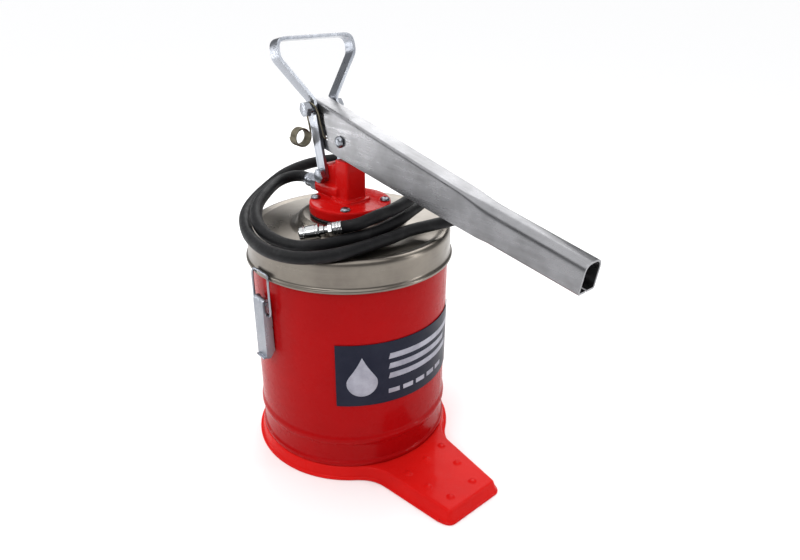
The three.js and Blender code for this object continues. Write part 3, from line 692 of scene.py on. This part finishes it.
def add_lid():
    profile = [(24, 250.3), (45.6, 250.3), (49.6, 248.5), (53.5, 242.2), (57.6, 239.7), (91.2, 238.3),
               (95.2, 239.3), (97.8, 239.1), (99.6, 237.2), (100.3, 234.5), (100.3, 214), (100.6, 210.8),
               (102, 210), (103.5, 210.6), (103.9, 212), (103.5, 213.5), (102.2, 214.3), (101.5, 215.6),
               (101.4, 217.5), (101.4, 234.6), (101.1, 237.1), (99.9, 239.5), (97.7, 240.6), (95, 240.6),
               (91, 239.6), (58, 241), (54.5, 243.2), (50.5, 249.5), (46, 251.6), (24, 251.6)]
    mesh = turned(profile, (AXIS, 0, 0), segments=240, radius=1.4, steps=4, closed=True)
    finish_piece(mesh, "lid_shell", NICKEL, "base", ["lid"], sharp=50)
    gasket = [(24.5, 251.9), (39.4, 251.9), (39.8, 252.3), (39.8, 253.1), (39.4, 253.5), (24.5, 253.5)]
    finish_piece(turned(gasket, (PUMP, 0, 0), segments=120, radius=0.2, closed=True), "head_seal", SEAL,
                 "base",
                 ["head_gasket"])


add_bucket()
add_label()
add_lid()


# ---------- pump head casting and its screws ----------
def rounded_box(x0, x1, y0, y1, low, high, radius):
    corners = [(x0, y0), (x1, y0), (x1, y1), (x0, y1)]
    return prism(softened(corners, radius, 5, closed=True), low, high, lambda u, v, w: (AXIS + u, v, w))


def add_head():
    flange = turned([(0, 253.8), (39.7, 253.8), (40.2, 254.3), (40.2, 262.7), (39.0, 264.2), (0, 264.2)],
                    (PUMP, 0, 0), segments=120)
    plinth = rounded_box(-10.5, 17.5, -15.5, 15.5, 262, 266.9, 5)
    column = rounded_box(-6.3, 13.0, -11.6, 11.6, 262, 304, 2.4)
    pivot_x, pivot_z = LOWER_BOLT.x - AXIS, LOWER_BOLT.z
    arc = [math.radians(62 + 118 * k / 16) for k in range(17)]
    ear = [(4, 262), (4, 301), (-4, 301)]
    ear += [(pivot_x + 11.5 * math.cos(a), pivot_z + 11.5 * math.sin(a)) for a in arc]
    ear += [(pivot_x - 9.5, 262)]
    web = prism(ear, -10, 10, lambda u, v, w: (AXIS + u, w, v))
    boss = turned([(0, 0), (9.3, 0), (9.3, 37), (0, 37)], (AXIS - 38.4, -5, 271), (1, 0, 0), segments=48)
    whole = join(flange, plinth, column, web, boss)
    casting = finish_piece(whole, "head_casting", CAST_RED, "base", ["pump_head"])
    remesh = casting.modifiers.new("casting", "REMESH")
    remesh.mode = "VOXEL"
    remesh.voxel_size = 0.00062
    remesh.use_smooth_shade = True
    smooth = casting.modifiers.new("fillets", "SMOOTH")
    smooth.iterations = 9
    smooth.factor = 0.5
    return casting


def add_screws():
    for i, spot in enumerate(SCREWS, start=1):
        seat = 264.5
        head = turned([(0, seat - 1), (4.4, seat - 1), (4.7, seat), (4.8, seat + 0.6), (4.5, seat + 1.5),
                       (3.8, seat + 2.4), (2.4, seat + 2.9),
                       (0, seat + 3.1)], (spot.x, spot.y, 0), segments=48)
        turn = math.radians(20 + 37 * i)
        slots = []
        for angle in (turn, turn + math.pi / 2):
            along = Vector((math.cos(angle), math.sin(angle)))
            across = Vector((-math.sin(angle), math.cos(angle)))
            corners = [(-2.9, -0.55), (2.9, -0.55), (2.9, 0.55), (-2.9, 0.55)]
            flat = [along * a + across * b for a, b in corners]
            slots.append(prism(flat, seat + 1.5, seat + 6, lambda u, v, w: (spot.x + u, spot.y + v, w)))
        finish_piece(cut(head, *slots), f"screw_cap_{i}", ZINC, "base", [f"head_screw_{i}"],
                     bevel=0.12,
                     segments=2)


add_head()
add_screws()


# ---------- strap, bolts and nuts ----------
def on_strap(x, y, z):
    """A point of the leaning strap: x forwards, z up along the strap from its lower pivot."""
    c, s = math.cos(STRAP_LEAN), math.sin(STRAP_LEAN)
    return (LOWER_BOLT.x + x * c - z * s, y, LOWER_BOLT.z + x * s + z * c)


STRAP_PIVOTS = math.hypot(FULCRUM.x - LOWER_BOLT.x, FULCRUM.z - LOWER_BOLT.z)


def rounded_corners(corners, steps=6):
    """Corners (u, v, radius) of a closed outline, each rounded by its own radius."""
    out = []
    for i, (u, v, radius) in enumerate(corners):
        here = Vector((u, v))
        if radius == 0:
            out.append(here)
            continue
        back = (Vector(corners[i - 1][:2]) - here).normalized()
        ahead = (Vector(corners[(i + 1) % len(corners)][:2]) - here).normalized()
        half = math.acos(max(-1, min(1, back.dot(ahead)))) / 2
        reach = radius / math.tan(half)
        out += bow(here + back * reach, here, here + ahead * reach, steps) + [here + ahead * reach]
    return out


def drilled(mesh, *holes):
    """Cuts round holes along Y; each is (radius, place, x, z) with place turning (x, y, z) into a point."""
    tools = []
    for radius, place, x, z in holes:
        tools.append(prism(circle(radius, 40), -30, 30,
                           lambda u, v, w, p=place, cx=x, cz=z: p(cx + u, w, cz + v)))
    return cut(mesh, *tools)


def add_strap():
    leg, flare, top, thick, end = 14.2, 44, 129.6, 3, 8
    outer = [(leg, -end, 0), (leg, 71.5, 6), (flare, 111, 12), (flare, top, 11)]
    inner = [(flare - thick, top - thick, 8), (flare - thick, 112, 9), (leg - thick, 72.5, 9),
             (leg - thick, -end, 0)]
    mirror = lambda corners: [(-u, v, r) for u, v, r in reversed(corners)]
    band = prism(rounded_corners(outer + mirror(outer) + mirror(inner) + inner, 8), -6.5, 6.5,
                 lambda u, v, w: on_strap(w, u, v))
    arc = [math.pi + math.pi * k / 24 for k in range(25)]
    side = [(6.5, top + 5), (-6.5, top + 5)] + [(6.5 * math.cos(a), 6.5 * math.sin(a)) for a in arc]
    strip = combined(band, prism(side, -60, 60, lambda u, v, w: on_strap(u, w, v)), "INTERSECT")
    strip = drilled(strip, (4.3, on_strap, 0, 0), (4.3, on_strap, 0, STRAP_PIVOTS))
    finish_piece(strip, "strap_loop", ZINC, "strap", ["strap_handle"], bevel=0.55, sharp=40)


def hex_piece(across, low, high, place, bore=0.0, chamfer_low=True, chamfer_high=True):
    """A hexagon along Y with its corners turned off, and a bore where it is a nut."""
    body = prism(hexagon(across, 0, 0), low, high, lambda u, v, w: place(u, w, v))
    corner, flat = across / math.sqrt(3), across / 2
    drop = (corner - flat) * 0.6
    profile = [(0, low), (flat * 0.94 if chamfer_low else corner + 1, low), (corner + 0.2, low + drop)]
    profile += [(corner + 0.2, high - drop), (flat * 0.94 if chamfer_high else corner + 1, high), (0, high)]
    cone = bmesh.new()
    rings = []
    for r, y in profile:
        if r == 0:
            rings.append([cone.verts.new(place(0, y, 0))])
        else:
            rings.append([cone.verts.new(place(r * math.cos(a), y, r * math.sin(a)))
                          for a in (2 * math.pi * k / 64 for k in range(64))])
    skin(cone, rings)
    shape = combined(body, cone, "INTERSECT")
    if bore:
        shape = cut(shape, prism(circle(bore, 40), low - 1, high + 1, lambda u, v, w: place(u, w, v)))
    return shape


def threaded(low, high, radius, place):
    """A bolt end along Y with turned thread crests and a chamfered tip."""
    mesh = bmesh.new()
    profile = [(0, low), (radius, low)]
    steps = int((high - 0.8 - low) / 0.5)
    for k in range(steps):
        profile.append((radius - (0.28 if k % 2 else 0), low + 0.5 * (k + 0.5)))
    profile += [(radius - 0.8, high), (0, high)]
    rings = []
    for r, y in profile:
        if r == 0:
            rings.append([mesh.verts.new(place(0, y, 0))])
        else:
            rings.append([mesh.verts.new(place(r * math.cos(a), y, r * math.sin(a)))
                          for a in (2 * math.pi * k / 40 for k in range(40))])
    skin(mesh, rings)
    return mesh


def at(x, z, lean=0.0):
    """A place function round (x, z), turned about Y by the lean."""
    c, s = math.cos(lean), math.sin(lean)
    return lambda u, y, v: (x + u * c - v * s, y, z + u * s + v * c)


def add_bolts():
    lower, upper = at(LOWER_BOLT.x, LOWER_BOLT.z), at(FULCRUM.x, FULCRUM.z, STRAP_LEAN)
    pin = at(ROD_PIN.x, ROD_PIN.z)
    head = hex_piece(13, -20, -14.5, lower, chamfer_high=False)
    finish_piece(merged(head, threaded(-15, 21.5, 4, lower)), "lower_bolt_steel", ZINC, "base",
                 ["lower_bolt"], bevel=0.25)
    finish_piece(hex_piece(13, 14.5, 20, lower, 4.1), "lower_nut_steel", ZINC, "base",
                 ["lower_nut"],
                 bevel=0.25)
    head = hex_piece(13, -23.3, -17.8, upper, chamfer_high=False)
    finish_piece(merged(head, threaded(-18, 21.5, 4, upper)), "upper_bolt_steel", ZINC, "strap",
                 ["upper_bolt"], bevel=0.25)
    finish_piece(hex_piece(12, 14.5, 20, upper, 4.1), "upper_nut_steel", ZINC, "strap",
                 ["upper_nut"],
                 bevel=0.25)
    dome = turned([(0, 0), (5.3, 0), (5.6, 0.5), (5.6, 1.1), (5.0, 2.3), (3.9, 3.2), (2.2, 3.7), (0, 3.8)],
                  (ROD_PIN.x, -10.3, ROD_PIN.z), (0, -1, 0), 64, 0.3)
    finish_piece(merged(dome, threaded(-10.4, 15.2, 4, pin)), "rod_pin_steel", ZINC, "lever",
                 ["rod_pin"])
    finish_piece(hex_piece(12, 10.4, 14.4, pin, 4.1), "rod_pin_nut_steel", ZINC, "lever",
                 ["rod_pin_nut"],
                 bevel=0.25)


add_strap()
add_bolts()


# ---------- lever: bent channel with a closed grip ----------
LEVER_TOP = [(-60, 360.7), (-40, 356.4), (-22, 352.5), (88, 328.7), (178, 309.3), (276.5, 292.4),
             (300, 288.4)]
LEVER_BOTTOM = [(-60, 316.1), (-31, 311.6), (87, 293.3), (178, 280.4), (273, 266.8), (300, 262.9)]
GRIP = (176, 190)


def height_at(line, x):
    for (x0, z0), (x1, z1) in zip(line, line[1:]):
        if x <= x1:
            return z0 + (z1 - z0) * (x - x0) / (x1 - x0)
    return line[-1][1]


def smooth_height(line, x, reach=9):
    return sum(height_at(line, x + d * reach / 4) for d in range(-4, 5)) / 9


def lever_section(x):
    """Closed outline in (y, z): outside from the left edge over the top, then back along the inside."""
    half, sheet = 10.0, 1.8
    top, bottom = smooth_height(LEVER_TOP, x), smooth_height(LEVER_BOTTOM, x)
    grip = ease((x - GRIP[0]) / (GRIP[1] - GRIP[0]))
    corner = 3.0 + 4.6 * ease((x - 152) / 40)
    lip = 7.6 * grip + 0.02
    foot = 2.2 * grip + 0.02

    def side(width, crown, floor, radius, foot_radius):
        arc = [math.pi / 2 * k / 7 for k in range(8)]
        points = [(width - foot_radius - lip * 0.9, floor)]
        points += [(width - foot_radius + foot_radius * math.sin(a),
                    floor + foot_radius * (1 - math.cos(a)))
                   for a in arc]
        points += [(width, floor + foot_radius + (crown - radius - floor - foot_radius) * k / 5)
                   for k in range(1, 5)]
        points += [(width - radius + radius * math.cos(a),
                    crown - radius + radius * math.sin(a)) for a in arc]
        return points

    outer = side(half, top, bottom, corner, foot)
    raised = bottom + sheet * grip
    inner = side(half - sheet, top - sheet, raised, max(1.2, corner - sheet),
                 max(0.02, foot - sheet * grip))
    inner[0] = (outer[0][0], raised)
    return ([(-y, z) for y, z in outer] + list(reversed(outer)) + inner
            + [(-y, z) for y, z in reversed(inner)])


def add_lever():
    spots = sorted(set([-58 + 4 * k for k in range(88)] + [GRIP[0] + k for k in range(15)]))
    mesh = bmesh.new()
    rings = [[mesh.verts.new((AXIS + x, y, z)) for y, z in lever_section(x)] for x in spots]
    skin(mesh, rings)
    mesh.faces.new(rings[0])
    mesh.faces.new(list(reversed(rings[-1])))
    nose_x, nose_z = FULCRUM.x - AXIS, FULCRUM.z
    arc = [math.radians(103 + 93 * k / 16) for k in range(17)]
    side = [(-31, 311.4), (-26, 300), (60, 280), (180, 266), (270, 245), (273, 266.8), (276.5, 292.4),
            (280, 312), (-30, 378), (-39.4, 356.2)]
    side += [(nose_x + 8.8 * math.cos(a), nose_z + 8.8 * math.sin(a)) for a in arc]
    trimmed = combined(mesh, prism(side, -30, 30, lambda u, v, w: (AXIS + u, w, v)), "INTERSECT")
    flat = lambda x, y, z: (x, y, z)
    trimmed = drilled(trimmed, (4.3, flat, FULCRUM.x, FULCRUM.z), (4.3, flat, ROD_PIN.x, ROD_PIN.z),
                      (2.6, flat, AXIS - 20.9, 321.7))
    finish_piece(trimmed, "lever_channel", BRUSHED, "lever", ["lever"], bevel=0.35,
                 segments=2,
                 sharp=38)


add_lever()


# ---------- torsion spring ----------
def add_spring():
    coil_x, coil_y, coil_z, radius, pitch = -44.5, -20, 319, 8.4, 2
    lead = [(-20.9, -7.6, 321.7), (-20.9, -9.6, 321.7), (-21.4, -11.3, 322.8), (-24, -11.7, 329.5),
            (-26.6, -12, 337), (-28, -12.6, 344), (-30.2, -14.7, 350.4), (-33.5, -16.1, 353),
            (-37.4, -16.2, 353.6), (-41.3, -16.2, 351.4), (-43, -16, 347), (-43.3, -15.2, 340),
            (-43.7, -13, 330)]
    for i in range(67):
        angle = -2 * math.pi * i / 12
        lead.append((coil_x - pitch * i / 12, coil_y + radius * math.cos(angle),
                     coil_z + radius * math.sin(angle)))
    path = curve_through([(AXIS + x, y, z) for x, y, z in lead], 5)
    # no body: the spring is baked in place as built
    spring = finish_piece(sweep(path, circle(0.9, 14)), "spring_coil", WIRE, None,
                          ["torsion_spring"], sharp=60)
    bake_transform(spring)


add_spring()


# ---------- latches ----------
def side_plate(corners, low, high, turn):
    """An outline in (y, z) carried along X between low and high, turned to its side of the bucket."""
    return prism(corners, low, high, lambda u, v, w: (AXIS + w * turn, u * turn, v))


def across_hole(radius, y, z, turn):
    return side_plate([(y + a, z + b) for a, b in circle(radius, 32)], -20, 20, turn)


def add_latch(name, turn):
    def along(points):
        return [Vector((AXIS + x * turn, y * turn, z)) for x, y, z in points]

    pin_y, pin_z = -105, 186
    back = side_plate([(-101.4, 157), (-99.9, 157), (-99.9, pin_z - 5.5), (-101.4, pin_z - 5.5)], -6.6,
                      6.6, turn)
    arc = [math.radians(-55 + 255 * k / 30) for k in range(31)]
    ear = [(pin_y - 2.9, pin_z - 6), (pin_y + 4, pin_z - 12), (pin_y + 4, pin_z - 6.5),
           (pin_y + 1.6, pin_z - 4.6)]
    ear += [(pin_y + 3.1 * math.cos(a), pin_z + 3.1 * math.sin(a)) for a in arc]
    ears = [side_plate(ear, s * 5.3 - 0.75, s * 5.3 + 0.75, turn) for s in (-1, 1)]
    bracket = cut(join(back, *ears), across_hole(2.1, pin_y, pin_z, turn))
    finish_piece(bracket, f"bracket_{name}", ZINC, "base", [f"latch_bracket_{name}"], bevel=0.3)

    ends = [AXIS - 9.5, AXIS + 9.5]
    pin = turned([(0, ends[0]), (1.75, ends[0]), (1.75, ends[1]), (0, ends[1])], (0, pin_y * turn, pin_z),
                 (1, 0, 0), 32, 0.4)
    finish_piece(pin, f"hinge_pin_{name}", ZINC, "base", [f"latch_pin_{name}"])
    for height, level in ((163, "lower"), (171, "upper")):
        rivet = turned([(0, 0), (2, 0), (2, 3.2), (3.6, 3.2), (3.5, 4.2), (2.4, 4.8), (0, 5)],
                       (AXIS, -98.5 * turn, height), (0, -turn, 0), 32, 0.3)
        finish_piece(rivet, f"rivet_{level}_{name}", ZINC, "base", [f"latch_rivet_{level}_{name}"])

    outer = rounded_corners([(-109.5, 127, 1.5), (-109.5, 190.5, 4.5), (-101.6, 190.5, 3.4),
                             (-101.6, 178, 2), (-100.4, 174, 0), (-100.4, 134, 3), (-105, 127, 0)], 8)
    shell = side_plate(outer, -8.5, 8.5, turn)
    inside = rounded_corners([(-108.3, 128.2, 0), (-108.3, 189.3, 3.3), (-104.5, 189.3, 0),
                              (-104.5, 195, 0), (-90, 195, 0), (-90, 128.2, 0)], 8)
    hollow = side_plate(inside, -7.3, 7.3, turn)
    cover = cut(shell, hollow, across_hole(2.1, pin_y, pin_z, turn), across_hole(1.6, -104.8, 174, turn))
    lip = side_plate([(-112.4, 127), (-109, 127), (-109, 128.4), (-112.4, 128.4)], -7, 7, turn)
    finish_piece(join(cover, lip), f"cover_{name}", ZINC, f"cover_{name}", [f"latch_cover_{name}"],
                 bevel=0.5, segments=4, sharp=45)

    side = [(7.2, -104.8, 174), (10, -104.8, 174), (12.6, -104.8, 174.6), (14, -104.8, 177.2),
            (14, -104.8, 190), (14, -104.8, 208), (13.6, -104.4, 213), (11.6, -103.7, 215.4),
            (8, -103.5, 215.8)]
    route = side + [(0, -103.5, 215.8)] + [(-x, y, z) for x, y, z in reversed(side)]
    finish_piece(sweep(curve_through(along(route), 6), circle(1.2, 16)), f"bail_wire_{name}", ZINC,
                 f"bail_{name}", [f"latch_bail_{name}"], sharp=60)


add_latch("left", 1)
add_latch("right", -1)


# ---------- pieces inside the bucket keep their CAD shape and get their finish ----------
INSIDE = {
    "lid_gasket": SEAL, "rod_seal": SEAL, "follower_seal": SEAL, "pump_tube": MACHINED,
          "inlet_foot": MACHINED,
    "piston_rod": MACHINED, "piston": MACHINED, "piston_nut": ZINC, "follower_plate": ZINC,
}
for node, material in INSIDE.items():
    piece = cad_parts[node]
    piece.data.materials.clear()
    piece.data.materials.append(material)
    piece.data.set_sharp_from_angle(angle=math.radians(30))
    edge = piece.modifiers.new("edge", "BEVEL")
    edge.width = 0.0002
    edge.segments = 2
    edge.limit_method = "ANGLE"


# ---------- floor, light and world ----------
def add_stage():
    ground = bmesh.new()
    bmesh.ops.create_grid(ground, x_segments=1, y_segments=1, size=80)
    data = bpy.data.meshes.new("floor")
    ground.to_mesh(data)
    ground.free()
    floor = bpy.data.objects.new("floor", data)
    floor.location.z = -0.0002
    bpy.context.collection.objects.link(floor)
    paper = bpy.data.materials.new("floor_paper")
    paper.use_nodes = True
    paper.node_tree.nodes["Principled BSDF"].inputs["Base Color"].default_value = (0.99, 0.99, 0.99, 1)
    paper.node_tree.nodes["Principled BSDF"].inputs["Roughness"].default_value = 0.8
    data.materials.append(paper)


def add_light(name, location, target, size, power, size_y=None):
    lamp = bpy.data.lights.new(name, "AREA")
    lamp.shape = "RECTANGLE"
    lamp.size = size
    lamp.size_y = size_y or size
    lamp.energy = power
    light = bpy.data.objects.new(name, lamp)
    light.location = location
    light.rotation_euler = (Vector(target) - Vector(location)).to_track_quat("-Z", "Y").to_euler()
    bpy.context.collection.objects.link(light)


def add_sun(strength, spread):
    lamp = bpy.data.lights.new("sky_light", "SUN")
    lamp.energy = strength
    lamp.angle = math.radians(spread)
    light = bpy.data.objects.new("sky_light", lamp)
    light.rotation_euler = (math.radians(8), math.radians(-6), 0)
    bpy.context.collection.objects.link(light)


add_stage()
add_sun(2.5, 100)
add_light("key", (0.35, -1.2, 1.2), (-0.05, 0, 0.15), 0.6, 4)
add_light("left_strip", (-1.1, -0.75, 0.5), (-0.08, 0, 0.15), 0.07, 3.2, 1.1)
add_light("right_strip", (1.0, 0.75, 0.45), (-0.08, 0, 0.15), 0.09, 3.2, 1.1)
add_light("back_softbox", (-1.0, 1.05, 1.15), (-0.08, 0, 0.25), 1.2, 13)
world = bpy.data.worlds.new("studio")
world.use_nodes = True
world.node_tree.nodes["Background"].inputs["Color"].default_value = (0.96, 0.97, 1.0, 1)
world.node_tree.nodes["Background"].inputs["Strength"].default_value = 0.26
bpy.context.scene.world = world
bpy.context.scene.view_settings.view_transform = "Standard"
